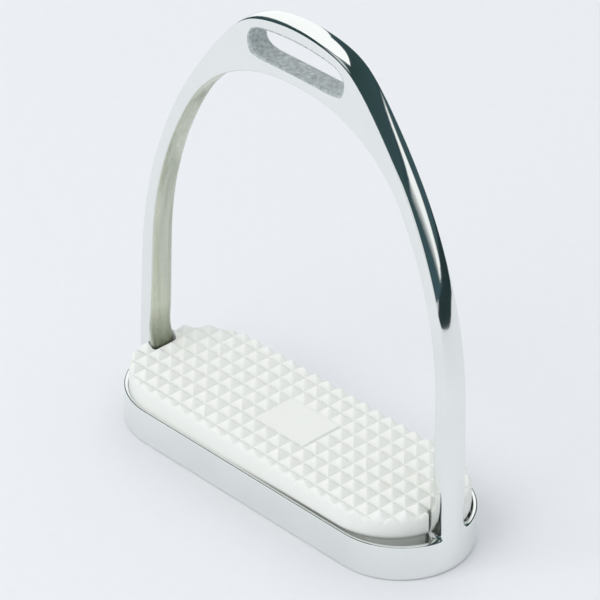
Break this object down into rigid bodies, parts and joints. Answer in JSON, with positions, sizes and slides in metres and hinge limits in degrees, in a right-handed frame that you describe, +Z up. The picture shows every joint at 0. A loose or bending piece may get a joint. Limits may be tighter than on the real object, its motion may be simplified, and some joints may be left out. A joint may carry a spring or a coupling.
{
  "type": "stirrup iron",
  "caption": "Fillis-style riding stirrup: a polished arched iron with a leather eye and a tray tread, holding a studded rubber tread pad that lifts out.",
  "frame": {"origin": "middle of the flat base that the iron stands on", "axes": "+Z up through the leather eye, X along the tread from leg to leg, Y along the rider's foot through the arch"},
  "size_m": [0.132, 0.0462, 0.1538],
  "materials": {
    "polished_stainless": "mirror-polished cast stainless steel; the eye's inner walls are left as cast",
    "white_rubber": "matt white moulded rubber"
  },
  "bodies": {
    "iron_body": {"iron": "polished_stainless"},
    "pad_body": {"tread_pad": "white_rubber"}
  },
  "joints": [
    {"name": "tread_pad_lift", "type": "slide", "parent": "iron_body", "child": "pad_body", "axis": [0, 0, 1], "range_m": [0, 0.014]}
  ]
}
